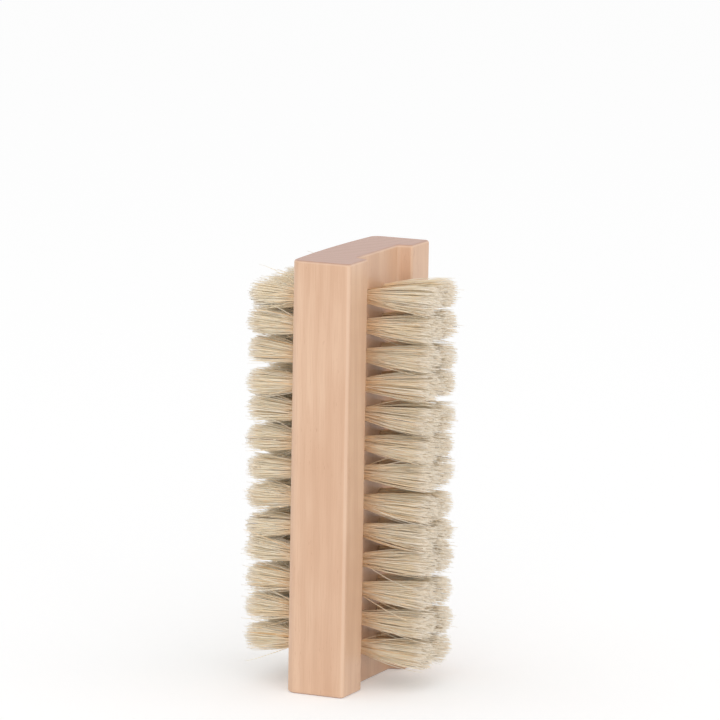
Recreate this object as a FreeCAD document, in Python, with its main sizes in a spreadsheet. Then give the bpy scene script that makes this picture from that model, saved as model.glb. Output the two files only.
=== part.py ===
"""Double-sided wooden nail brush, in millimetres.

The brush stands on its lower end. Z runs along the block, Y across its width and X through its thickness:
the crowned face looks to -X and the face with the shallow channel looks to +X. Every tuft is a bundle of
bristles folded over a flat wire anchor and driven into a blind hole.
"""

import FreeCAD, Part
import Sketcher
import math
import os
from typing import NamedTuple
from FreeCAD import Placement, Rotation, Vector

SIZES = (
    ("block_length", 90.0, "wooden block, end to end"),
    ("block_width", 40.0, "wooden block, across both narrow faces"),
    ("block_thickness", 13.1, "from the long edges of the crown to the plane of the rims"),
    ("crown_rise", 0.8, "bulge of the crowned face above its long edges"),
    ("rim_width", 9.0, "flat rim on each side of the channel"),
    ("recess_depth", 3.0, "channel floor below the rims"),
    ("recess_wall_slope", 0.9, "how far each channel wall leans outwards on its way up"),
    ("crown_corner_radius", 2.3, "rounding of the crown's long edges"),
    ("rim_outer_radius", 1.0, "rounding of the rims' outer long edges"),
    ("rim_inner_radius", 0.6, "rounding of the rims' inner long edges"),
    ("recess_floor_radius", 0.9, "fillet along each side of the channel floor"),
    ("end_edge_share", 0.9, "radius of the edges round both ends, as a share of the sharper rim edge's"),
    ("core_web", 2.0, "wood left between holes drilled from opposite faces"),
    ("hole_diameter", 3.2, "blind hole for one tuft"),
    ("crown_rows", 13, "rows of tufts on the crowned face"),
    ("crown_columns", 4, "tufts in one row of the crowned face"),
    ("crown_lower_margin", 9.6, "from the lower end to the middle of the first row on the crowned face"),
    ("crown_upper_margin", 9.0, "from the last row's middle to the upper end on the crowned face"),
    ("crown_column_pitch", 7.6, "from column to column on the crowned face"),
    ("crown_trim", 12.4, "bristle tips beyond the crown's long edges"),
    ("recess_rows", 13, "rows of tufts in the channel"),
    ("recess_columns", 2, "tufts in one row of the channel"),
    ("recess_lower_margin", 7.6, "from the lower end to the middle of the first row in the channel"),
    ("recess_upper_margin", 8.9, "from the last row's middle to the upper end in the channel"),
    ("recess_column_pitch", 7.8, "from column to column in the channel"),
    ("recess_trim", 12.3, "bristle tips beyond the rims"),
    ("tuft_clearance", 0.05, "between a tuft's root and the wall of its hole"),
    ("tuft_gap", 0.4, "between neighbouring tufts where they are widest"),
    ("tip_straight", 3.5, "length below the tips where a tuft keeps its full width"),
    ("tip_dome", 0.7, "height of a tuft's rounded tip"),
    ("fold_height", 0.8, "bundle of bristles folded under the anchor"),
    ("anchor_depth", 1.6, "anchor wire, along the hole"),
    ("anchor_thickness", 0.4, "anchor wire, through its flat sides"),
    ("anchor_bite", 0.35, "how far each end of an anchor cuts into the wood"),
)

# Sizes that follow from the driving ones, as expressions that the features are bound to.
HOLE_DEPTH = (
    "((Sizes.block_thickness + Sizes.crown_rise - Sizes.recess_depth - Sizes.core_web) / 2)"
)
CROWN_MOUTH = "(-Sizes.block_thickness / 2 - Sizes.crown_rise)"
RECESS_MOUTH = "(Sizes.block_thickness / 2 - Sizes.recess_depth)"
ROOT_RADIUS = "(Sizes.hole_diameter / 2 - Sizes.tuft_clearance)"
ANCHOR_LENGTH = "(Sizes.hole_diameter + 2 * Sizes.anchor_bite)"
CROWN_RADIUS = "((Sizes.block_width ^ 2 / 4 + Sizes.crown_rise ^ 2) / (2 * Sizes.crown_rise))"
END_RADIUS = "(Sizes.end_edge_share * min(Sizes.rim_inner_radius; Sizes.rim_outer_radius))"

START, END, CENTRE = range(1, 4)  # points of a line or an arc
ORIGIN = (-1, START)  # a sketch's own origin, as a geometry index and a point
H_AXIS = ORIGIN[0]
NEAR = 1e-4  # how close two places have to be to count as one

doc = FreeCAD.newDocument("nail_brush")


class Side(NamedTuple):
    """One wide face of the block, with the tufts that are set in it."""

    name: str
    bottom: str
    free_length: str
    outward: int

    def size(self, what):
        """The expression of one of this face's own driving sizes."""
        return f"Sizes.{self.name}_{what}"

    def rows(self):
        """How many rows of tufts there are."""
        return int(size(f"{self.name}_rows"))

    def columns(self):
        """How many tufts stand in one row."""
        return int(size(f"{self.name}_columns"))

    def row_span(self):
        """The expression of the distance from the first row to the last."""
        return f"(Sizes.block_length - {self.size('lower_margin')} - {self.size('upper_margin')})"

    def row_pitch(self):
        """The expression of the distance from row to row."""
        return f"({self.row_span()} / ({self.size('rows')} - 1))"

    def row_height(self, row):
        """The expression of a row's height above the lower end."""
        return f"({self.size('lower_margin')} + {row} * {self.row_pitch()})"

    def column_span(self):
        """The expression of the distance from the first column to the last."""
        return f"(({self.size('columns')} - 1) * {self.size('column_pitch')})"


CROWN = Side(
    name="crown",
    bottom=f"({CROWN_MOUTH} + {HOLE_DEPTH})",
    free_length="(Sizes.crown_trim - Sizes.crown_rise)",
    outward=-1,
)
RECESS = Side(
    name="recess",
    bottom=f"({RECESS_MOUTH} - {HOLE_DEPTH})",
    free_length="(Sizes.recess_trim + Sizes.recess_depth)",
    outward=1,
)


def make_sheet():
    """Write the driving sizes into the spreadsheet."""
    sheet = doc.addObject("Spreadsheet::Sheet", "Sizes")
    for row, (alias, value, note) in enumerate(SIZES, start=1):
        sheet.set(f"A{row}", note)
        sheet.set(f"B{row}", str(value))
        sheet.setAlias(f"B{row}", alias)
    doc.recompute()


def size(alias):
    """One driving size as a number."""
    return float(doc.Sizes.get(alias))


def new_body(name):
    """A new sub-part; its label names its file."""
    body = doc.addObject("PartDesign::Body", name)
    body.Label = name
    return body


def origin_feature(body, role):
    """One of a body's own origin planes or axes."""
    return next(f for f in body.Origin.OriginFeatures if f.Role == role)


def new_sketch(body, name, plane):
    """A sketch on one of the body's origin planes."""
    sketch = body.newObject("Sketcher::SketchObject", name)
    sketch.AttachmentSupport = [(origin_feature(body, plane), "")]
    sketch.MapMode = "FlatFace"
    return sketch


def bind(sketch, kind, expression, *where):
    """Add a dimension to a sketch and bind it to an expression."""
    value = float(sketch.evalExpression(expression))
    index = sketch.addConstraint(Sketcher.Constraint(kind, *where, value))
    sketch.setExpression(f"Constraints[{index}]", expression)


def draw_polyline(sketch, points):
    """Draw an open chain of lines through the points and join their ends."""
    lines = [
        sketch.addGeometry(Part.LineSegment(Vector(*a), Vector(*b)))
        for a, b in zip(points, points[1:])
    ]
    for before, after in zip(lines, lines[1:]):
        sketch.addConstraint(Sketcher.Constraint("Coincident", before, END, after, START))
    return lines


def draw_rectangle(sketch, width, height):
    """Draw a rectangle centred on the sketch's origin, its two sizes given as expressions."""
    corners = [(-1, -1), (1, -1), (1, 1), (-1, 1), (-1, -1)]
    south, east, north, west = draw_polyline(sketch, corners)
    sketch.addConstraint(Sketcher.Constraint("Coincident", west, END, south, START))
    for line in (south, north):
        sketch.addConstraint(Sketcher.Constraint("Horizontal", line))
    for line in (east, west):
        sketch.addConstraint(Sketcher.Constraint("Vertical", line))
    sketch.addConstraint(Sketcher.Constraint("Symmetric", south, START, north, START, *ORIGIN))
    bind(sketch, "DistanceX", width, south, START, south, END)
    bind(sketch, "DistanceY", height, east, START, east, END)


def draw_block_section(sketch):
    """Draw the block's constant section: flat sides, two rims, the channel between them and the crown."""
    half_width = size("block_width") / 2
    half_thickness = size("block_thickness") / 2
    rim = half_width - size("rim_width")
    foot = rim - size("recess_wall_slope")
    floor = half_thickness - size("recess_depth")
    near_side, near_rim, near_wall, channel, far_wall, far_rim, far_side = draw_polyline(
        sketch,
        [
            (-half_thickness, -half_width),
            (half_thickness, -half_width),
            (half_thickness, -rim),
            (floor, -foot),
            (floor, foot),
            (half_thickness, rim),
            (half_thickness, half_width),
            (-half_thickness, half_width),
        ],
    )
    apex = Vector(-half_thickness - size("crown_rise"), 0)
    crown = sketch.addGeometry(
        Part.Arc(Vector(-half_thickness, half_width), apex, Vector(-half_thickness, -half_width))
    )
    sketch.addConstraint(Sketcher.Constraint("Coincident", far_side, END, crown, START))
    sketch.addConstraint(Sketcher.Constraint("Coincident", crown, END, near_side, START))
    for line in (near_side, far_side):
        sketch.addConstraint(Sketcher.Constraint("Horizontal", line))
    sketch.addConstraint(Sketcher.Constraint("Vertical", near_rim))
    for far, near in ((far_side, near_rim), (far_rim, near_wall), (far_wall, channel)):
        sketch.addConstraint(Sketcher.Constraint("Symmetric", far, START, near, START, H_AXIS))
    bind(sketch, "DistanceX", "Sizes.block_thickness / 2", *ORIGIN, near_side, END)
    bind(sketch, "DistanceX", "Sizes.block_thickness", near_side, START, near_side, END)
    bind(sketch, "DistanceX", "Sizes.block_thickness", far_side, END, far_side, START)
    bind(sketch, "DistanceY", "Sizes.block_width", near_side, END, far_side, START)
    bind(sketch, "DistanceY", "Sizes.rim_width", near_rim, START, near_rim, END)
    bind(sketch, "DistanceX", "Sizes.recess_depth", channel, START, near_rim, END)
    bind(sketch, "DistanceY", "Sizes.recess_wall_slope", near_rim, END, channel, START)
    bind(sketch, "DistanceX", f"{CROWN_RADIUS} + {CROWN_MOUTH}", *ORIGIN, crown, CENTRE)


def round_edges(body, name, radius, wanted):
    """Round those edges of the body's present shape that the test picks out."""
    doc.recompute()
    base = body.Tip
    edges = [f"Edge{i}" for i, edge in enumerate(base.Shape.Edges, start=1) if wanted(edge)]
    fillet = body.newObject("PartDesign::Fillet", name)
    fillet.Base = (base, edges)
    fillet.setExpression("Radius", radius)


def long_edge_at(depth, reach):
    """A test for the two long edges at one place in the section, mirrored across the middle."""

    def wanted(edge):
        foot, head = (edge.Vertexes[i].Point for i in (0, -1))
        upright = abs(head.z - foot.z) > NEAR and abs(head.y - foot.y) < NEAR
        return upright and abs(foot.x - depth) < NEAR and abs(abs(foot.y) - reach) < NEAR

    return wanted


def end_edge(edge):
    """A test for the edges round the block's two end faces."""
    heights = [v.Z for v in edge.Vertexes]
    return max(heights) < NEAR or min(heights) > size("block_length") - NEAR


def repeat(body, name, features, side, along_rows):
    """Repeat features over one face's columns and, where asked, over its rows too."""
    pattern = body.newObject("PartDesign::LinearPattern", name)
    pattern.Originals = features
    pattern.Refine = False
    pattern.Direction = (origin_feature(body, "Y_Axis"), [""])
    pattern.setExpression("Length", side.column_span())
    pattern.Occurrences = side.columns()
    if along_rows:
        pattern.Direction2 = (origin_feature(body, "Z_Axis"), [""])
        pattern.setExpression("Length2", side.row_span())
        pattern.Occurrences2 = side.rows()
    body.Tip = pattern


def draw_hole(sketch):
    """Draw the round outline of a tuft's hole."""
    circle = sketch.addGeometry(Part.Circle())
    sketch.addConstraint(Sketcher.Constraint("Coincident", circle, CENTRE, *ORIGIN))
    bind(sketch, "Radius", "Sizes.hole_diameter / 2", circle)


def draw_anchor(sketch):
    """Draw an anchor's outline as seen along its hole."""
    draw_rectangle(sketch, ANCHOR_LENGTH, "Sizes.anchor_thickness")


def sink(body, name, side, bottom, draw):
    """Cut an outline outwards from a depth in the wood, at the first tuft of one face."""
    outline = new_sketch(body, f"{name}_outline", "YZ_Plane")
    outline.setExpression("AttachmentOffset.Base.x", f"-{side.column_span()} / 2")
    outline.setExpression("AttachmentOffset.Base.y", side.row_height(0))
    outline.setExpression("AttachmentOffset.Base.z", bottom)
    draw(outline)
    pocket = body.newObject("PartDesign::Pocket", name)
    pocket.Profile = outline
    pocket.Type = "ThroughAll"
    pocket.Reversed = side.outward > 0
    pocket.Refine = False
    return pocket


def drill_side(body, side):
    """Drill one face's blind holes, with the grooves that the anchors cut as they are driven in."""
    fold = f"({side.bottom} + {side.outward} * Sizes.fold_height)"
    cuts = [
        sink(body, f"{side.name}_hole", side, side.bottom, draw_hole),
        sink(body, f"{side.name}_groove", side, fold, draw_anchor),
    ]
    repeat(body, f"{side.name}_drilling", cuts, side, along_rows=True)


def make_block():
    """The wooden block: a moulded strip cut to length, softened and drilled from both faces."""
    body = new_body("brush_block")
    section = new_sketch(body, "block_section", "XY_Plane")
    draw_block_section(section)
    pad = body.newObject("PartDesign::Pad", "moulded_strip")
    pad.Profile = section
    pad.setExpression("Length", "Sizes.block_length")
    half_width = size("block_width") / 2
    half_thickness = size("block_thickness") / 2
    rim = half_width - size("rim_width")
    foot = rim - size("recess_wall_slope")
    floor = half_thickness - size("recess_depth")
    for name, depth, reach in (
        ("crown_corner", -half_thickness, half_width),
        ("rim_outer", half_thickness, half_width),
        ("rim_inner", half_thickness, rim),
        ("recess_floor", floor, foot),
    ):
        round_edges(body, f"{name}_rounding", f"Sizes.{name}_radius", long_edge_at(depth, reach))
    round_edges(body, "end_softening", END_RADIUS, end_edge)
    drill_side(body, CROWN)
    drill_side(body, RECESS)
    return body


def place(body, side, height):
    """Stand a body's own axis in a face's first hole, pointing outwards from the hole's bottom."""
    half_turn = 180.0
    turn = half_turn if side.outward < 0 else 0.0
    body.Placement = Placement(Vector(), Rotation(Vector(0, 0, 1), turn))
    body.setExpression("Placement.Base.x", side.bottom)
    body.setExpression("Placement.Base.y", f"{-side.outward} * {side.column_span()} / 2")
    body.setExpression("Placement.Base.z", height)


def draw_arc(sketch, centre, start, end):
    """Draw an arc about a centre, anticlockwise from one point to another."""
    first, last = start - centre, end - centre
    circle = Part.Circle(centre, Vector(0, 0, 1), first.Length)
    angles = [math.atan2(spoke.y, spoke.x) for spoke in (first, last)]
    return sketch.addGeometry(Part.ArcOfCircle(circle, *angles))


def draw_tuft_profile(sketch, side):
    """Draw half of a tuft's outline: root in the hole, flare, straight end and rounded tip."""
    pitch = f"min({side.row_pitch()}; {side.size('column_pitch')})"
    full_radius = f"(({pitch} - Sizes.tuft_gap) / 2)"
    length = f"({HOLE_DEPTH} + {side.free_length})"
    depth, root, full, tip = (
        float(sketch.evalExpression(e)) for e in (HOLE_DEPTH, ROOT_RADIUS, full_radius, length)
    )
    mouth = Vector(depth, root)
    flared = Vector(tip - size("tip_straight"), full)
    shoulder = Vector(tip - size("tip_dome"), full)
    end = Vector(tip, 0)
    flare_radius = ((flared - mouth).Length ** 2) / (2 * (full - root))
    dome_radius = ((end - shoulder).Length ** 2) / (2 * size("tip_dome"))
    root_end, root_wall = draw_polyline(sketch, [(0, 0), (0, root), (depth, root)])
    flare = draw_arc(sketch, flared - Vector(0, flare_radius), flared, mouth)
    straight = sketch.addGeometry(Part.LineSegment(flared, shoulder))
    dome = draw_arc(sketch, end - Vector(dome_radius, 0), end, shoulder)
    axis = sketch.addGeometry(Part.LineSegment(end, Vector()))
    sketch.addConstraint(Sketcher.Constraint("Coincident", root_wall, END, flare, END))
    sketch.addConstraint(Sketcher.Constraint("Coincident", flare, START, straight, START))
    sketch.addConstraint(Sketcher.Constraint("Coincident", straight, END, dome, END))
    sketch.addConstraint(Sketcher.Constraint("Coincident", dome, START, axis, START))
    sketch.addConstraint(Sketcher.Constraint("Coincident", axis, END, root_end, START))
    sketch.addConstraint(Sketcher.Constraint("Coincident", root_end, START, *ORIGIN))
    sketch.addConstraint(Sketcher.Constraint("Vertical", root_end))
    for line in (root_wall, straight, axis):
        sketch.addConstraint(Sketcher.Constraint("Horizontal", line))
    sketch.addConstraint(Sketcher.Constraint("Vertical", flare, CENTRE, flare, START))
    sketch.addConstraint(Sketcher.Constraint("PointOnObject", dome, CENTRE, H_AXIS))
    bind(sketch, "DistanceY", ROOT_RADIUS, *ORIGIN, root_end, END)
    bind(sketch, "DistanceX", HOLE_DEPTH, root_wall, START, root_wall, END)
    bind(sketch, "DistanceY", full_radius, *ORIGIN, straight, START)
    bind(sketch, "DistanceX", "Sizes.tip_straight - Sizes.tip_dome", straight, START, straight, END)
    bind(sketch, "DistanceX", "Sizes.tip_dome", straight, END, axis, START)
    bind(sketch, "DistanceX", length, *ORIGIN, axis, START)


def make_tuft_row(side, row):
    """One row of tufts, each a bundle with a slot where its anchor passes through the fold."""
    body = new_body(f"{side.name}_tufts_row_{row + 1:02d}")
    profile = new_sketch(body, f"{body.Name}_profile", "XY_Plane")
    draw_tuft_profile(profile, side)
    bundle = body.newObject("PartDesign::Revolution", f"{body.Name}_bundle")
    bundle.Profile = profile
    bundle.ReferenceAxis = (profile, ["H_Axis"])
    bundle.Angle = 360.0
    repeat(body, f"{body.Name}_columns", [bundle], side, along_rows=False)
    outline = new_sketch(body, f"{body.Name}_slot_outline", "XZ_Plane")
    outline.setExpression("AttachmentOffset.Base.x", "Sizes.fold_height + Sizes.anchor_depth / 2")
    draw_rectangle(outline, "Sizes.anchor_depth", "Sizes.anchor_thickness")
    slot = body.newObject("PartDesign::Pocket", f"{body.Name}_slot")
    slot.Profile = outline
    slot.Type = "ThroughAll"
    slot.Midplane = True
    slot.Refine = False
    body.Tip = slot
    place(body, side, side.row_height(row))
    return body


def make_anchors(side):
    """All the flat wire anchors of one face, one in each hole."""
    body = new_body(f"{side.name}_anchors")
    outline = new_sketch(body, f"{body.Name}_outline", "YZ_Plane")
    outline.setExpression("AttachmentOffset.Base.z", "Sizes.fold_height")
    draw_anchor(outline)
    wire = body.newObject("PartDesign::Pad", f"{body.Name}_wire")
    wire.Profile = outline
    wire.setExpression("Length", "Sizes.anchor_depth")
    repeat(body, f"{body.Name}_holes", [wire], side, along_rows=True)
    place(body, side, side.row_height(0))
    return body


def check(bodies):
    """Stop before anything is written if a feature failed or a shape is not sound."""
    for item in doc.Objects:
        if {"Invalid", "Error"} & set(item.State):
            raise RuntimeError(f"{item.Name} failed: {item.State}")
    for body, solids in bodies.items():
        if body.Shape.isNull() or not body.Shape.isValid():
            raise RuntimeError(f"{body.Label} has no valid shape")
        if len(body.Shape.Solids) != solids:
            raise RuntimeError(f"{body.Label} has {len(body.Shape.Solids)} solids, not {solids}")


def main():
    """Build every sub-part and write each one's solids to its own file."""
    make_sheet()
    bodies = {make_block(): 1}
    for side in (CROWN, RECESS):
        bodies[make_anchors(side)] = side.rows() * side.columns()
        for row in range(side.rows()):
            bodies[make_tuft_row(side, row)] = side.columns()
    doc.recompute()
    check(bodies)
    os.makedirs("parts", exist_ok=True)
    for body in bodies:
        body.Shape.exportStep(f"parts/{body.Label}.step")
        box = body.Shape.BoundBox
        print(
            f"{body.Label}: {len(body.Shape.Solids)} solids, {body.Shape.Volume:.2f} mm3, "
            f"x {box.XMin:.2f} {box.XMax:.2f}, y {box.YMin:.2f} {box.YMax:.2f}, "
            f"z {box.ZMin:.2f} {box.ZMax:.2f}"
        )


main()
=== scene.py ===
"""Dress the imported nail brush: satin lacquered wood, loose natural bristle and drawn anchor wire.

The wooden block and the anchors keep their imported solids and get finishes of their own. Every row of
tufts is replaced by loose bristles, each one a bent copy of a single modelled stem.
"""

import logging
import math
from dataclasses import dataclass
from enum import Enum
from typing import Sequence, Union

import bpy
import numpy as np
from mathutils import Matrix, Vector


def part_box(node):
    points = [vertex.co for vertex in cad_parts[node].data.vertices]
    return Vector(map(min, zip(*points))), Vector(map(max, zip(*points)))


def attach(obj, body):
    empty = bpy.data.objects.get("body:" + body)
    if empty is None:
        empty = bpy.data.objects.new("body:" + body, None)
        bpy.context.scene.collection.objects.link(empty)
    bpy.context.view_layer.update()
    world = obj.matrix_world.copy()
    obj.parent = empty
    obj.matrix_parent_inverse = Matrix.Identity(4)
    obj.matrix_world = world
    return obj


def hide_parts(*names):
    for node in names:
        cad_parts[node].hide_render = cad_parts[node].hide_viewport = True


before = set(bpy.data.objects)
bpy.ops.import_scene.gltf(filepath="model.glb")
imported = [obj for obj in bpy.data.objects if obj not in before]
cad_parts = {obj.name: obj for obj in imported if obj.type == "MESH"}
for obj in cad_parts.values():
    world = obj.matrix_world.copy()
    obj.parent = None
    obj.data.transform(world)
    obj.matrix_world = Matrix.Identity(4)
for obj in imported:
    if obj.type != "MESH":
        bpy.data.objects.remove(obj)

LOG = logging.getLogger("nail_brush")
BODY = "root"
MM = 0.001
PER_METRE = 1000.0

Colour = tuple[float, float, float]
Scale = tuple[float, float, float]
Limits = tuple[float, float]
Input = Union[bpy.types.NodeSocket, float, Sequence[float]]

WHITE: Colour = (1.0, 1.0, 1.0)


def linear(red: int, green: int, blue: int) -> Colour:
    """Turn a display colour into the linear values that shaders take.

    Args:
        red: Red from 0 to 255.
        green: Green from 0 to 255.
        blue: Blue from 0 to 255.

    Returns:
        The three linear channels, from 0 to 1.
    """
    def channel(value: int) -> float:
        """Undo the display curve of one channel."""
        share = value / 255.0
        return share / 12.92 if share <= 0.04045 else ((share + 0.055) / 1.055) ** 2.4

    return channel(red), channel(green), channel(blue)


@dataclass(frozen=True)
class Grain:
    """A noise pattern: its features per millimetre along each axis, and its finer layers."""

    scale: Scale
    detail: float = 2.0
    roughness: float = 0.5


class NodeGraph:
    """The shader nodes of a material or of the world, wired by short calls."""

    # The colour sockets of a mix node share their names with others, so they are taken by number.
    MIX_FIRST = 6
    MIX_SECOND = 7
    MIX_RESULT = 2

    def __init__(self, owner: Union[bpy.types.Material, bpy.types.World]) -> None:
        """Start without a node.

        Args:
            owner: What the nodes belong to.
        """
        owner.use_nodes = True
        self.tree = owner.node_tree
        self.tree.nodes.clear()

    def add(self, kind: str, **settings: object) -> bpy.types.Node:
        """Add one node.

        Args:
            kind: The node's type name.
            **settings: Properties to set on it.

        Returns:
            The new node.
        """
        node = self.tree.nodes.new(kind)
        for name, value in settings.items():
            setattr(node, name, value)
        return node

    def feed(self, socket: bpy.types.NodeSocket, value: Input) -> None:
        """Link a socket to another one, or set it to a constant.

        Args:
            socket: The input to fill.
            value: An output socket, a number, a vector or a colour.
        """
        if isinstance(value, bpy.types.NodeSocket):
            self.tree.links.new(value, socket)
        elif socket.type == "RGBA":
            socket.default_value = (*value, 1.0)
        else:
            socket.default_value = value

    def place_mm(self) -> bpy.types.NodeSocket:
        """Find the surface point in the piece's own frame.

        Returns:
            The point, in millimetres.
        """
        coordinates = self.add("ShaderNodeTexCoord")
        scaled = self.add("ShaderNodeVectorMath", operation="SCALE")
        self.feed(scaled.inputs[0], coordinates.outputs["Object"])
        self.feed(scaled.inputs["Scale"], PER_METRE)
        return scaled.outputs[0]

    def split(self, vector: Input) -> bpy.types.NodeOutputs:
        """Take a vector apart.

        Args:
            vector: The vector.

        Returns:
            Its three values, under the names X, Y and Z.
        """
        node = self.add("ShaderNodeSeparateXYZ")
        self.feed(node.inputs[0], vector)
        return node.outputs

    def stretch(
        self, vector: Input, scale: Sequence[float], shift: Sequence[float] = (0.0, 0.0, 0.0)
    ) -> bpy.types.NodeSocket:
        """Scale and then shift a vector.

        Args:
            vector: The vector to change.
            scale: Factor along each axis.
            shift: What is added along each axis afterwards.

        Returns:
            The changed vector.
        """
        node = self.add("ShaderNodeVectorMath", operation="MULTIPLY_ADD")
        for socket, value in zip(node.inputs, (vector, scale, shift)):
            self.feed(socket, value)
        return node.outputs[0]

    def noise(self, place: Input, grain: Grain) -> bpy.types.NodeSocket:
        """Read a smooth noise.

        Args:
            place: Where to read it, in millimetres.
            grain: The pattern.

        Returns:
            The noise value, from 0 to 1.
        """
        node = self.add("ShaderNodeTexNoise")
        self.feed(node.inputs["Vector"], self.stretch(place, grain.scale))
        self.feed(node.inputs["Scale"], 1.0)
        self.feed(node.inputs["Detail"], grain.detail)
        self.feed(node.inputs["Roughness"], grain.roughness)
        return node.outputs["Fac"]

    def compute(self, operation: str, first: Input, second: Input = 0.0) -> bpy.types.NodeSocket:
        """Take one arithmetic step, clamped by nothing.

        Args:
            operation: Blender's name for it, such as MULTIPLY.
            first: Left value.
            second: Right value.

        Returns:
            The result.
        """
        node = self.add("ShaderNodeMath", operation=operation)
        self.feed(node.inputs[0], first)
        self.feed(node.inputs[1], second)
        return node.outputs[0]

    def fade(self, value: Input, limits: Limits) -> bpy.types.NodeSocket:
        """Make a soft step.

        Args:
            value: What is measured.
            limits: Where the step starts and where it ends.

        Returns:
            The step, from 0 to 1.
        """
        node = self.add("ShaderNodeMapRange", interpolation_type="SMOOTHSTEP")
        for name, number in zip(("Value", "From Min", "From Max"), (value, *limits)):
            self.feed(node.inputs[name], number)
        return node.outputs["Result"]

    def mix(self, share: Input, first: Input, second: Input) -> bpy.types.NodeSocket:
        """Blend two colours.

        Args:
            share: How much of the second colour, from 0 to 1.
            first: Colour at 0.
            second: Colour at 1.

        Returns:
            The blended colour.
        """
        node = self.add("ShaderNodeMix", data_type="RGBA")
        self.feed(node.inputs["Factor"], share)
        self.feed(node.inputs[self.MIX_FIRST], first)
        self.feed(node.inputs[self.MIX_SECOND], second)
        return node.outputs[self.MIX_RESULT]

    def tint(self, share: Input, strength: float, ground: Input, colour: Input) -> bpy.types.NodeSocket:
        """Lay a colour over another one, at a part of its strength.

        Args:
            share: Where the colour lies, from 0 to 1.
            strength: How much of it shows there.
            ground: The colour below.
            colour: The colour on top.

        Returns:
            The blended colour.
        """
        return self.mix(self.compute("MULTIPLY", share, strength), ground, colour)

    def attribute(self, name: str) -> bpy.types.NodeSocket:
        """Read the value that a mesh carries at each point under a name."""
        return self.add("ShaderNodeAttribute", attribute_name=name).outputs["Fac"]

    def bump(self, height: Input, strength: float, depth_mm: float) -> bpy.types.NodeSocket:
        """Disturb the surface normal by a height.

        Args:
            height: Height from 0 to 1.
            strength: Share of the effect that is kept.
            depth_mm: How deep a height of 1 is.

        Returns:
            The normal.
        """
        node = self.add("ShaderNodeBump")
        self.feed(node.inputs["Height"], height)
        self.feed(node.inputs["Strength"], strength)
        self.feed(node.inputs["Distance"], depth_mm * MM)
        return node.outputs["Normal"]

    def show(self, kind: str, shader: bpy.types.NodeSocket) -> None:
        """Lead a shader to an output node of the kind that shows it."""
        self.feed(self.add(kind).inputs["Surface"], shader)

    def surface(self, **inputs: Input) -> None:
        """Finish a material with one principled shader.

        Args:
            **inputs: Values of its sockets, with _ for each space in their names.
        """
        shader = self.add("ShaderNodeBsdfPrincipled")
        for name, value in inputs.items():
            self.feed(shader.inputs[name.replace("_", " ")], value)
        self.show("ShaderNodeOutputMaterial", shader.outputs["BSDF"])


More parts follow.
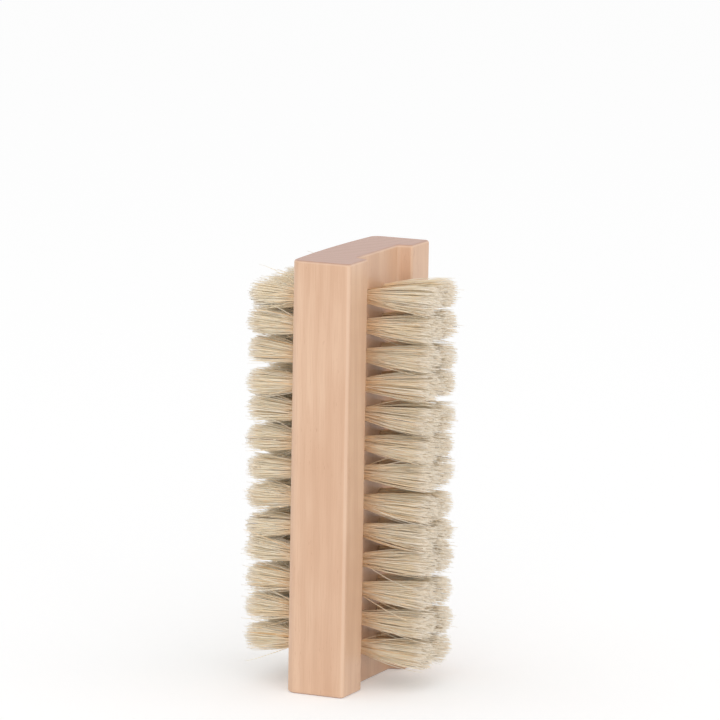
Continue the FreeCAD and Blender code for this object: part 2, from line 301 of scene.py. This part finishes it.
@dataclass(frozen=True)
class WoodFinish:
    """Pale straight-grained wood under a thin satin lacquer, its grain along Z, with a painted highlight
    along the rim and end edges.

    A fade gives the values at which a feature starts to show and shows in full, and a share says how
    much of its colour it then adds.
    """

    pale: Colour = linear(230, 193, 163)
    warm: Colour = linear(218, 177, 146)
    band: Colour = linear(206, 162, 131)
    fleck: Colour = linear(166, 104, 74)
    # Painted highlight: the paler colour laid along the rim and end edges, where the lacquer would catch
    # the light.
    edge_highlight: Colour = linear(246, 218, 192)
    end_grain: Colour = linear(194, 149, 128)
    end_pore: Colour = linear(178, 130, 108)
    clouds: Grain = Grain((0.11, 0.11, 0.035))
    cloud_fade: Limits = (0.3, 0.7)
    pith_mm: tuple[float, float] = (-46.0, 24.0)
    ring_mm: float = 2.7
    wander: Grain = Grain((0.055, 0.055, 0.012))
    wander_mm: float = 9.0
    band_fade: Limits = (-0.7, 1.0)
    band_share: float = 0.26
    end_band_share: float = 0.3
    fibres: Grain = Grain((5.2, 5.2, 0.11), detail=4.0, roughness=0.62)
    fibre_fade: Limits = (0.42, 0.75)
    fibre_share: float = 0.5
    fibre_bump: float = 0.35
    fibre_depth_mm: float = 0.035
    dashes: Grain = Grain((6.5, 6.5, 0.55), detail=1.0)
    dash_fade: Limits = (0.66, 0.78)
    patches: Grain = Grain((0.2, 0.2, 0.07), detail=1.0)
    patch_fade: Limits = (0.46, 0.66)
    fleck_share: float = 0.6
    pores: Grain = Grain((4.5, 4.5, 0.6), detail=3.0, roughness=0.6)
    pore_fade: Limits = (0.4, 0.72)
    pore_share: float = 0.5
    end_fade: Limits = (0.35, 0.95)
    rim_turn_fade: Limits = (0.3, 0.48)
    rim_from_mm: Limits = (4.7, 5.5)
    end_edge_fade: Limits = (0.1, 0.24)
    # How much of the painted edge highlight shows.
    edge_highlight_share: float = 0.27
    roughness: float = 0.36
    fibre_roughness: float = 0.12
    specular: float = 0.42
    coat: float = 0.22
    coat_roughness: float = 0.24

    def material(self) -> bpy.types.Material:
        """Build the wood.

        Returns:
            The material.
        """
        material = bpy.data.materials.new("satin_wood")
        graph = NodeGraph(material)
        place = graph.place_mm()
        normal = graph.split(graph.add("ShaderNodeTexCoord").outputs["Normal"])
        upright = graph.compute("ABSOLUTE", normal["Z"])
        bands = self._bands(graph, place)
        fibres = graph.noise(place, self.fibres)
        side = self._side(graph, place, bands, fibres)
        end = self._end(graph, place, bands)
        plain = graph.mix(graph.fade(upright, self.end_fade), side, end)
        # Mask of the painted highlight along the rims' outer edges and round both ends.
        edges = self._painted_edge_highlight(graph, place, normal, upright)
        uneven = graph.compute("MULTIPLY", fibres, self.fibre_roughness)
        graph.surface(
            # The base colour carries the painted edge highlight.
            Base_Color=graph.tint(edges, self.edge_highlight_share, plain, self.edge_highlight),
            Roughness=graph.compute("ADD", uneven, self.roughness),
            Specular_IOR_Level=self.specular,
            Coat_Weight=self.coat,
            Coat_Roughness=self.coat_roughness,
            Normal=graph.bump(fibres, self.fibre_bump, self.fibre_depth_mm),
        )
        return material

    def _bands(self, graph: NodeGraph, place: Input) -> bpy.types.NodeSocket:
        """Draw the growth rings round a pith that lies outside the block.

        Args:
            graph: The wood's nodes.
            place: The surface point, in millimetres.

        Returns:
            The rings, from 0 to 1.
        """
        pith_x, pith_y = self.pith_mm
        spoke = graph.add("ShaderNodeVectorMath", operation="LENGTH")
        graph.feed(spoke.inputs[0], graph.stretch(place, (1.0, 1.0, 0.0), (-pith_x, -pith_y, 0.0)))
        drift = graph.compute("MULTIPLY", graph.noise(place, self.wander), self.wander_mm)
        ring = graph.compute("ADD", spoke.outputs["Value"], drift)
        wave = graph.compute("SINE", graph.compute("MULTIPLY", ring, math.tau / self.ring_mm))
        return graph.fade(wave, self.band_fade)

    def _side(self, graph: NodeGraph, place: Input, bands: Input, fibres: Input) -> bpy.types.NodeSocket:
        """Colour the faces that run along the grain: clouds, growth bands, fibres and dark flecks.

        Args:
            graph: The wood's nodes.
            place: The surface point, in millimetres.
            bands: The growth rings.
            fibres: The fine streaks.

        Returns:
            The colour.
        """
        clouds = graph.fade(graph.noise(place, self.clouds), self.cloud_fade)
        ground = graph.mix(clouds, self.pale, self.warm)
        banded = graph.tint(bands, self.band_share, ground, self.band)
        streaks = graph.fade(fibres, self.fibre_fade)
        streaked = graph.tint(streaks, self.fibre_share, banded, self.band)
        dashes = graph.fade(graph.noise(place, self.dashes), self.dash_fade)
        patches = graph.fade(graph.noise(place, self.patches), self.patch_fade)
        flecks = graph.compute("MULTIPLY", dashes, patches)
        return graph.tint(flecks, self.fleck_share, streaked, self.fleck)

    def _end(self, graph: NodeGraph, place: Input, bands: Input) -> bpy.types.NodeSocket:
        """Colour the darker end grain with its pores and rings.

        Args:
            graph: The wood's nodes.
            place: The surface point, in millimetres.
            bands: The growth rings.

        Returns:
            The colour.
        """
        pores = graph.fade(graph.noise(place, self.pores), self.pore_fade)
        share = graph.compute(
            "ADD",
            graph.compute("MULTIPLY", pores, self.pore_share),
            graph.compute("MULTIPLY", bands, self.end_band_share),
        )
        return graph.mix(share, self.end_grain, self.end_pore)

    def _painted_edge_highlight(
        self, graph: NodeGraph, place: Input, normal: bpy.types.NodeOutputs, upright: Input
    ) -> bpy.types.NodeSocket:
        """Find the outer edges of the rims and the edges round both ends, where a painted highlight
        pales the finish.

        Args:
            graph: The wood's nodes.
            place: The surface point, in millimetres.
            normal: The surface normal's three values.
            upright: How far the surface faces straight up or down.

        Returns:
            The edges that carry the painted highlight, from 0 to 1.
        """
        across = graph.compute("ABSOLUTE", normal["Y"])
        turned = graph.fade(graph.compute("MULTIPLY", normal["X"], across), self.rim_turn_fade)
        raised = graph.fade(graph.split(place)["X"], self.rim_from_mm)
        rim = graph.compute("MULTIPLY", turned, raised)
        slant = graph.compute("SUBTRACT", upright, graph.compute("MULTIPLY", upright, upright))
        return graph.compute("MAXIMUM", rim, graph.fade(slant, self.end_edge_fade))


class BristleTone(Enum):
    """The natural shades of a bristle, each with its place on the shade scale."""

    BONE = 0.0
    CREAM = 0.35
    STRAW = 0.65
    HONEY = 0.85
    DARK = 1.0


@dataclass(frozen=True)
class BristleFinish:
    """Undyed natural bristle, paler towards the cut tip, with painted shade that turns it darker and
    golden towards the root.
    """

    shades: tuple[tuple[BristleTone, Colour], ...] = (
        (BristleTone.BONE, linear(255, 249, 234)),
        (BristleTone.CREAM, linear(255, 243, 216)),
        (BristleTone.STRAW, linear(255, 230, 192)),
        (BristleTone.HONEY, linear(244, 203, 151)),
        (BristleTone.DARK, linear(76, 58, 48)),
    )
    # The golden root colour: painted shade towards the roots, and also the colour of the random mottle.
    root: Colour = linear(252, 208, 154)
    root_shade_fade: Limits = (0.1, 0.55)
    root_shade_share: float = 0.5
    mottle: Grain = Grain((0.7, 2.5, 2.5))
    mottle_fade: Limits = (0.45, 0.75)
    mottle_share: float = 0.3
    tip: Colour = linear(254, 245, 234)
    tip_fade: Limits = (0.78, 1.0)
    tip_share: float = 0.55
    light_up_to: float = BristleTone.HONEY.value + 0.01
    roughness: float = 0.5
    specular: float = 0.25

    def material(self) -> bpy.types.Material:
        """Build the bristle.

        Returns:
            The material.
        """
        material = bpy.data.materials.new("natural_bristle")
        graph = NodeGraph(material)
        tone = graph.attribute("tone")
        along = graph.attribute("along")
        # Painted shade: the bristles turn darker and golden towards their roots, where the tuft lies in
        # shadow.
        painted_root_shade = graph.compute("SUBTRACT", 1.0, graph.fade(along, self.root_shade_fade))
        shaded = graph.tint(painted_root_shade, self.root_shade_share, self._shade(graph, tone), self.root)
        mottle = graph.fade(graph.noise(graph.place_mm(), self.mottle), self.mottle_fade)
        mottled = graph.tint(mottle, self.mottle_share, shaded, self.root)
        light = graph.compute("LESS_THAN", tone, self.light_up_to)
        cut = graph.compute("MULTIPLY", graph.fade(along, self.tip_fade), light)
        graph.surface(
            Base_Color=graph.tint(cut, self.tip_share, mottled, self.tip),
            Roughness=self.roughness,
            Specular_IOR_Level=self.specular,
        )
        return material

    def _shade(self, graph: NodeGraph, tone: Input) -> bpy.types.NodeSocket:
        """Turn a place on the shade scale into its colour.

        Args:
            graph: The bristle's nodes.
            tone: The place on the scale.

        Returns:
            The colour.
        """
        ramp = graph.add("ShaderNodeValToRGB")
        stops = ramp.color_ramp.elements
        for shade, _ in self.shades[1:-1]:
            stops.new(shade.value)
        for stop, (shade, colour) in zip(stops, self.shades):
            stop.position = shade.value
            stop.color = (*colour, 1.0)
        graph.feed(ramp.inputs["Fac"], tone)
        return ramp.outputs["Color"]


@dataclass(frozen=True)
class WireFinish:
    """Drawn steel wire with faint die marks along it."""

    bright: Colour = linear(205, 203, 198)
    dull: Colour = linear(158, 155, 150)
    marks: Grain = Grain((8.0, 0.6, 8.0), detail=3.0)
    roughness: float = 0.25
    mark_roughness: float = 0.2

    def material(self) -> bpy.types.Material:
        """Build the wire.

        Returns:
            The material.
        """
        material = bpy.data.materials.new("drawn_wire")
        graph = NodeGraph(material)
        marks = graph.noise(graph.place_mm(), self.marks)
        uneven = graph.compute("MULTIPLY", marks, self.mark_roughness)
        graph.surface(
            Base_Color=graph.mix(marks, self.dull, self.bright),
            Metallic=1.0,
            Roughness=graph.compute("ADD", uneven, self.roughness),
        )
        return material


@dataclass
class Stem:
    """One bristle, modelled once: four-sided, closed and tapered to its tip."""

    sides: int = 4
    cuts: tuple[float, ...] = (0.09, 0.24, 0.48, 0.74, 0.92)
    tip_share: float = 0.5
    taper_from: float = 0.48
    ring_tolerance: float = 1e-4

    def model(self) -> tuple[np.ndarray, np.ndarray]:
        """Model the stem at unit size, read its mesh and remove it.

        Returns:
            The corner places, with Z running from 0 at the root to 1 at the tip, and the quads.
        """
        bpy.ops.object.select_all(action="DESELECT")
        bpy.ops.mesh.primitive_cylinder_add(
            vertices=self.sides, radius=1.0, depth=1.0, end_fill_type="NGON", location=(0, 0, 0.5)
        )
        stem = bpy.context.object
        bpy.ops.object.transform_apply(location=True)
        bpy.ops.object.mode_set(mode="EDIT")
        for height in self.cuts:
            bpy.ops.mesh.select_all(action="SELECT")
            bpy.ops.mesh.bisect(plane_co=(0, 0, height), plane_no=(0, 0, 1))
        bpy.ops.object.mode_set(mode="OBJECT")
        for height in (*self.cuts, 1.0):
            if height > self.taper_from:
                share = (height - self.taper_from) / (1.0 - self.taper_from)
                self._narrow(stem, height, 1.0 + share * (self.tip_share - 1.0))
        mesh = stem.data
        corners = np.array([vertex.co for vertex in mesh.vertices])
        quads = np.array([face.vertices for face in mesh.polygons])
        bpy.data.objects.remove(stem)
        bpy.data.meshes.remove(mesh)
        return corners, quads

    def _narrow(self, stem: bpy.types.Object, height: float, share: float) -> None:
        """Draw one ring of the stem in towards its axis.

        Args:
            stem: The stem being modelled.
            height: The ring's height.
            share: The ring's radius afterwards.
        """
        for vertex in stem.data.vertices:
            vertex.select = abs(vertex.co.z - height) < self.ring_tolerance
        for part in (*stem.data.edges, *stem.data.polygons):
            part.select = False
        bpy.ops.object.mode_set(mode="EDIT")
        bpy.ops.transform.resize(value=(share, share, 1.0))
        bpy.ops.object.mode_set(mode="OBJECT")


@dataclass(frozen=True)
class Scatter:
    """How widely the bristles differ: standard deviations, in millimetres where no unit is named.

    The fan, gauge and slit_turn are shares, and the tone is a step on the shade scale.
    """

    row_lean: float = 0.4
    tuft_lean: float = 0.25
    slit_turn: float = 0.4
    fan: float = 0.08
    tip: float = 0.32
    stray: float = 2.2
    length: float = 0.28
    short: float = 1.6
    long: float = 0.8
    bow: float = 0.16
    tone: float = 0.18
    gauge: float = 0.16


@dataclass
class TuftFace:
    """All the tufts of one wide face of the block, in millimetres.

    The face looks along X, and outward is its sign. The mouth is where its holes open. At its tips a
    tuft spreads by tip_reach to each side along Y and Z, and its outermost bristles are shorter than
    the middle ones by dome. The slit bristles stand over the ends of the anchors, just outside the
    round root. The gauge is a bristle's radius, and its limits are shares of it.
    """

    name: str
    outward: float
    mouth: float
    columns: int
    column_pitch: float
    tip_reach: tuple[float, float]
    dome: float
    seed: int
    bristles: int = 360
    root_radius: float = 1.55
    root_depth: float = 1.4
    slit_bristles: int = 8
    slit_reach: Limits = (1.62, 1.86)
    slit_half_width: float = 0.11
    gauge: float = 0.078
    gauge_limits: Limits = (0.6, 1.5)
    fan_power: float = 0.9
    spread_power: float = 1.45
    dome_power: int = 3
    stray_share: float = 0.035
    stray_limit: float = 3.2
    floor_gap: float = 0.6
    short_share: float = 0.08
    long_share: float = 0.012
    tone: float = 0.27
    dark_share: float = 0.013
    dark_from: float = 0.92
    scatter: Scatter = Scatter()

    def rows(self) -> list[str]:
        """List the names of this face's packed rows, from the lowest up."""
        return sorted(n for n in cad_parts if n.startswith(f"{self.name}_tufts_row_"))

    def build(self, corners: np.ndarray, quads: np.ndarray, finish: bpy.types.Material) -> None:
        """Replace every row of plain tufts with loose bristles.

        Args:
            corners: The modelled stem's corners.
            quads: The modelled stem's faces.
            finish: The bristle material.
        """
        for index, node in enumerate(self.rows()):
            piece = self._row(index, node, corners, quads)
            piece.data.materials.append(finish)
            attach(piece, BODY)
            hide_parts(node)
            LOG.info("%s: %d bristles", piece.name, len(piece.data.vertices) // len(corners))

    def _row(
        self, index: int, node: str, corners: np.ndarray, quads: np.ndarray
    ) -> bpy.types.Object:
        """Make the bristles of one row.

        Args:
            index: The row's number, from 0.
            node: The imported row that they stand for.
            corners: The modelled stem's corners.
            quads: The modelled stem's faces.

        Returns:
            The new piece.
        """
        chance = np.random.default_rng(self.seed + index)
        low, high = (np.array(corner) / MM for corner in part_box(node))
        tip = low[0] if self.outward < 0 else high[0]
        height = (low[2] + high[2]) / 2
        reach = (self.columns - 1) / 2 * self.column_pitch
        free = abs(tip - self.mouth)
        lean = chance.normal(0.0, self.scatter.row_lean)
        bundles = [
            self._bundle(chance, column * self.column_pitch - reach, height, free, lean)
            for column in range(self.columns)
        ]
        roots, tips, bows, tones = (np.concatenate(parts) for parts in zip(*bundles))
        places, along = self._bend(chance, roots, tips, bows, corners)
        firsts = len(corners) * np.arange(len(roots))
        faces = (quads[None] + firsts[:, None, None]).reshape(-1, quads.shape[1])
        mesh = bpy.data.meshes.new(f"{self.name}_bristles_row_{index + 1:02d}")
        mesh.from_pydata(places.reshape(-1, 3) * MM, [], faces.tolist())
        for name, values in (("tone", np.repeat(tones, len(corners))), ("along", along.ravel())):
            layer = mesh.attributes.new(name, "FLOAT", "POINT")
            layer.data.foreach_set("value", values.astype(np.float32))
        mesh.shade_smooth()
        piece = bpy.data.objects.new(mesh.name, mesh)
        bpy.context.collection.objects.link(piece)
        return piece

    def _bundle(
        self, chance: np.random.Generator, across: float, height: float, free: float, row_lean: float
    ) -> tuple[np.ndarray, np.ndarray, np.ndarray, np.ndarray]:
        """Choose the bristles of one tuft.

        Args:
            chance: The row's random numbers.
            across: The tuft's place along Y.
            height: The tuft's place along Z.
            free: Length from the hole's mouth to the trimmed tips.
            row_lean: How far the whole row's tips lean along Z.

        Returns:
            Roots and tips as (distance out of the mouth, Y, Z), the bows to each side, and the shades.
        """
        count = self.bristles
        angle = chance.uniform(0.0, math.tau, count)
        share = np.sqrt(chance.uniform(0.0, 1.0, count))
        spoke = np.stack([np.cos(angle), np.sin(angle)], axis=1)
        centre = np.array([across, height])
        lean = chance.normal((0.0, row_lean), self.scatter.tuft_lean)
        root = centre + spoke * (share * self.root_radius)[:, None]
        self._fill_slit(chance, centre, root, spoke, share)
        tip = self._tips(chance, centre + lean, spoke, share)
        length = self._lengths(chance, free, share)
        roots = np.column_stack([np.full(count, -self.root_depth), root])
        tips = np.column_stack([length, tip])
        bows = chance.normal(0.0, self.scatter.bow, (count, 2))
        return roots, tips, bows, self._tones(chance)

    def _fill_slit(
        self,
        chance: np.random.Generator,
        centre: np.ndarray,
        root: np.ndarray,
        spoke: np.ndarray,
        share: np.ndarray,
    ) -> None:
        """Move a tuft's first bristles over the ends of its anchor, by turns to either side.

        Args:
            chance: The row's random numbers.
            centre: The tuft's place along Y and Z.
            root: The roots, which are changed.
            spoke: The directions in which the bristles spread, which are changed.
            share: How far out in the tuft they stand, from 0 to 1, which is changed.
        """
        count = self.slit_bristles
        side = np.where(np.arange(count) % 2, 1.0, -1.0)
        root[:count, 0] = centre[0] + side * chance.uniform(*self.slit_reach, count)
        root[:count, 1] = centre[1] + chance.uniform(-1.0, 1.0, count) * self.slit_half_width
        spoke[:count] = np.column_stack([side, chance.normal(0.0, self.scatter.slit_turn, count)])
        share[:count] = 1.0

    def _tips(
        self, chance: np.random.Generator, middle: np.ndarray, spoke: np.ndarray, share: np.ndarray
    ) -> np.ndarray:
        """Fan a tuft's tips out, and let a few of them stray.

        Args:
            chance: The row's random numbers.
            middle: The middle of the tips along Y and Z.
            spoke: The directions in which the bristles spread.
            share: How far out in the tuft they stand, from 0 to 1.

        Returns:
            The tips' places along Y and Z.
        """
        fan = share ** self.fan_power * chance.normal(1.0, self.scatter.fan, len(share))
        tip = middle + spoke * fan[:, None] * self.tip_reach
        tip += chance.normal(0.0, self.scatter.tip, tip.shape)
        stray = chance.uniform(size=len(share)) < self.stray_share
        wander = chance.normal(0.0, self.scatter.stray, (int(stray.sum()), 2))
        tip[stray] += np.clip(wander, -self.stray_limit, self.stray_limit)
        tip[:, 1] = np.maximum(tip[:, 1], self.floor_gap)
        return tip

    def _lengths(self, chance: np.random.Generator, free: float, share: np.ndarray) -> np.ndarray:
        """Trim a tuft to a low dome, with a few short and a few long bristles.

        Args:
            chance: The row's random numbers.
            free: Length from the hole's mouth to the trimmed tips.
            share: How far out in the tuft the bristles stand, from 0 to 1.

        Returns:
            How far each tip stands out of the hole's mouth.
        """
        count = len(share)
        length = free - self.dome * share ** self.dome_power
        length += chance.normal(0.0, self.scatter.length, count)
        short = chance.uniform(size=count) < self.short_share
        length[short] -= np.abs(chance.normal(0.0, self.scatter.short, int(short.sum())))
        long = chance.uniform(size=count) < self.long_share
        length[long] += np.abs(chance.normal(0.0, self.scatter.long, int(long.sum())))
        return length

    def _tones(self, chance: np.random.Generator) -> np.ndarray:
        """Choose the shades of a tuft's bristles, a few of them dark.

        Args:
            chance: The row's random numbers.

        Returns:
            Their places on the shade scale.
        """
        tones = chance.normal(self.tone, self.scatter.tone, self.bristles)
        tones = np.clip(tones, BristleTone.BONE.value, BristleTone.HONEY.value)
        dark = chance.uniform(size=self.bristles) < self.dark_share
        tones[dark] = chance.uniform(self.dark_from, BristleTone.DARK.value, int(dark.sum()))
        return tones

    def _bend(
        self,
        chance: np.random.Generator,
        roots: np.ndarray,
        tips: np.ndarray,
        bows: np.ndarray,
        corners: np.ndarray,
    ) -> tuple[np.ndarray, np.ndarray]:
        """Bend one copy of the stem along each bristle's line.

        Args:
            chance: The row's random numbers.
            roots: Where the bristles start.
            tips: Where they end.
            bows: How far each one sags sideways half way along.
            corners: The modelled stem's corners.

        Returns:
            The corners of all copies in millimetres, and each corner's share of the way to the tip.
        """
        count = len(roots)
        share = np.broadcast_to(corners[:, 2], (count, len(corners)))
        step = 1e-3
        here = self._line(roots, tips, bows, share)
        ahead = self._line(roots, tips, bows, share + step) - here
        tangent = ahead / np.linalg.norm(ahead, axis=2, keepdims=True)
        turn = chance.uniform(0.0, math.tau, count)
        aside = np.stack([np.zeros(count), np.cos(turn), np.sin(turn)], axis=1)[:, None, :]
        first = aside - tangent * (tangent * aside).sum(axis=2, keepdims=True)
        first /= np.linalg.norm(first, axis=2, keepdims=True)
        second = np.cross(tangent, first)
        thickness = chance.normal(1.0, self.scatter.gauge, count).clip(*self.gauge_limits)
        gauge = (self.gauge * thickness)[:, None, None]
        placed = here + gauge * (corners[:, 0, None] * first + corners[:, 1, None] * second)
        placed[:, :, 0] = self.mouth + self.outward * placed[:, :, 0]
        return placed, share

    def _line(
        self, roots: np.ndarray, tips: np.ndarray, bows: np.ndarray, share: np.ndarray
    ) -> np.ndarray:
        """Find points on the bristles' lines: upright in the hole, then spreading and straightening out.

        Args:
            roots: Where the bristles start.
            tips: Where they end.
            bows: How far each one sags sideways half way along.
            share: How far along each bristle the points lie, from 0 to 1.

        Returns:
            The points.
        """
        start, end = roots[:, None, :], tips[:, None, :]
        out = start[..., 0] + share * (end[..., 0] - start[..., 0])
        free = np.clip(out / end[..., 0], 0.0, None)
        spread = 1.0 - np.abs(1.0 - free) ** self.spread_power * np.sign(1.0 - free)
        sag = np.sin(np.pi * np.clip(free, 0.0, 1.0))
        across = start[..., 1:] + spread[..., None] * (end[..., 1:] - start[..., 1:])
        return np.concatenate([out[..., None], across + sag[..., None] * bows[:, None, :]], axis=2)


@dataclass
class Block:
    """The wooden block with its hidden anchors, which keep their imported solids."""

    wood: WoodFinish
    wire: WireFinish
    recess_depth: float = 3.0

    def crown_mouth(self) -> float:
        """Find the highest line of the crowned face, in millimetres along X."""
        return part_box("brush_block")[0].x / MM

    def recess_mouth(self) -> float:
        """Find the channel's floor, in millimetres along X."""
        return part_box("brush_block")[1].x / MM - self.recess_depth

    def dress(self) -> None:
        """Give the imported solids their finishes."""
        finishes = {"brush_block": self.wood.material()}
        wire = self.wire.material()
        for name in ("crown_anchors", "recess_anchors"):
            finishes[name] = wire
        for name, finish in finishes.items():
            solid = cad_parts[name]
            solid.data.materials.clear()
            solid.data.materials.append(finish)
            LOG.info("%s: %s", name, finish.name)


@dataclass(frozen=True)
class Lamp:
    """One soft studio lamp, in metres and watts."""

    name: str
    place: tuple[float, float, float]
    size: float
    power: float


@dataclass
class Studio:
    """A white floor, soft lamps and the camera, in metres and degrees."""

    middle: tuple[float, float, float] = (0.0, 0.0, 0.045)
    azimuth: float = 24.663
    elevation: float = 9.697
    roll: float = 0.955
    distance: float = 1.16876
    aim_right: float = 0.000373
    aim_up: float = 0.021657
    focal_pixels: float = 5642.2
    picture_pixels: float = 720.0
    sensor_mm: float = 36.0
    clip_start: float = 0.01
    floor_size: float = 8.0
    floor_paint: Colour = (0.92, 0.92, 0.92)
    floor_glow: float = 0.19
    ambient: float = 0.85
    lamps: tuple[Lamp, ...] = (
        Lamp("key_lamp", place=(0.35, -1.1, 0.3), size=0.7, power=2.1),
        Lamp("fill_lamp", place=(0.85, -0.8, 0.3), size=0.7, power=1.6),
    )

    def build(self) -> None:
        """Set up floor, lamps, world and camera."""
        self._floor()
        self._world()
        for lamp in self.lamps:
            self._lamp(lamp)
        self._camera()
        bpy.context.scene.view_settings.view_transform = "Standard"

    def _seen(self, graph: NodeGraph) -> bpy.types.NodeSocket:
        """Tell a look at the floor or the world from the light that they give.

        Args:
            graph: The nodes of the floor or the world.

        Returns:
            1 where the camera, a reflection or clear material looks, and 0 for other light.
        """
        path = graph.add("ShaderNodeLightPath").outputs
        direct_or_mirrored = graph.compute("MAXIMUM", path["Is Camera Ray"], path["Is Glossy Ray"])
        return graph.compute("MAXIMUM", direct_or_mirrored, path["Is Transmission Ray"])

    def _floor(self) -> None:
        """Lay a plain pale floor that keeps the brush's shadow."""
        bpy.ops.object.select_all(action="DESELECT")
        bpy.ops.mesh.primitive_plane_add(size=self.floor_size, location=(0, 0, 0))
        floor = bpy.context.object
        floor.name = "studio_floor"
        material = bpy.data.materials.new("pale_floor")
        graph = NodeGraph(material)
        paint = graph.add("ShaderNodeBsdfDiffuse")
        graph.feed(paint.inputs["Color"], self.floor_paint)
        glow = graph.add("ShaderNodeEmission")
        graph.feed(glow.inputs["Color"], WHITE)
        strength = graph.compute("MULTIPLY", self._seen(graph), self.floor_glow)
        graph.feed(glow.inputs["Strength"], strength)
        both = graph.add("ShaderNodeAddShader")
        for socket, shader in zip(both.inputs, (paint, glow)):
            graph.feed(socket, shader.outputs[0])
        graph.show("ShaderNodeOutputMaterial", both.outputs[0])
        floor.data.materials.append(material)

    def _world(self) -> None:
        """Make even white surroundings that look plain white themselves."""
        world = bpy.data.worlds.new("studio_white")
        bpy.context.scene.world = world
        graph = NodeGraph(world)
        background = graph.add("ShaderNodeBackground")
        graph.feed(background.inputs["Color"], WHITE)
        level = graph.add("ShaderNodeMapRange")
        graph.feed(level.inputs["Value"], self._seen(graph))
        graph.feed(level.inputs["To Min"], self.ambient)
        graph.feed(level.inputs["To Max"], 1.0)
        graph.feed(background.inputs["Strength"], level.outputs["Result"])
        graph.show("ShaderNodeOutputWorld", background.outputs[0])

    def _lamp(self, lamp: Lamp) -> None:
        """Hang one square lamp that looks at the brush.

        Args:
            lamp: What to hang, and where.
        """
        light = bpy.data.lights.new(lamp.name, "AREA")
        light.energy = lamp.power
        light.size = lamp.size
        holder = bpy.data.objects.new(lamp.name, light)
        holder.location = lamp.place
        aim = Vector(self.middle) - Vector(lamp.place)
        holder.rotation_euler = aim.to_track_quat("-Z", "Y").to_euler()
        bpy.context.collection.objects.link(holder)

    def _camera(self) -> None:
        """Stand the camera where the photograph was taken from."""
        turn, tilt, roll = (math.radians(a) for a in (self.azimuth, self.elevation, self.roll))
        level = Vector((math.cos(turn), math.sin(turn), 0.0))
        back = Vector(
            (math.sin(turn) * math.cos(tilt), -math.cos(turn) * math.cos(tilt), math.sin(tilt))
        )
        upright = back.cross(level)
        right = math.cos(roll) * level + math.sin(roll) * upright
        up = math.cos(roll) * upright - math.sin(roll) * level
        place = Vector(self.middle) + self.aim_right * right + self.aim_up * up + self.distance * back
        data = bpy.data.cameras.new("studio_camera")
        data.sensor_width = self.sensor_mm
        data.lens = self.focal_pixels / self.picture_pixels * self.sensor_mm
        data.clip_start = self.clip_start
        camera = bpy.data.objects.new("studio_camera", data)
        axes = Matrix((right, up, back)).transposed().to_4x4()
        camera.matrix_world = Matrix.Translation(place) @ axes
        bpy.context.collection.objects.link(camera)
        bpy.context.scene.camera = camera


def main() -> None:
    """Build the pieces in order and report each one."""
    logging.basicConfig(level=logging.INFO, format="%(name)s %(message)s")
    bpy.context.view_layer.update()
    block = Block(WoodFinish(), WireFinish())
    block.dress()
    corners, quads = Stem().model()
    bristle = BristleFinish().material()
    faces = (
        TuftFace(
            name="crown",
            outward=-1.0,
            mouth=block.crown_mouth(),
            columns=4,
            column_pitch=7.6,
            tip_reach=(3.7, 2.6),
            dome=0.9,
            seed=1100,
        ),
        TuftFace(
            name="recess",
            outward=1.0,
            mouth=block.recess_mouth(),
            columns=2,
            column_pitch=7.8,
            tip_reach=(4.1, 2.8),
            dome=0.8,
            seed=2200,
        ),
    )
    for face in faces:
        face.build(corners, quads, bristle)
    Studio().build()


if __name__ == "__main__":
    main()
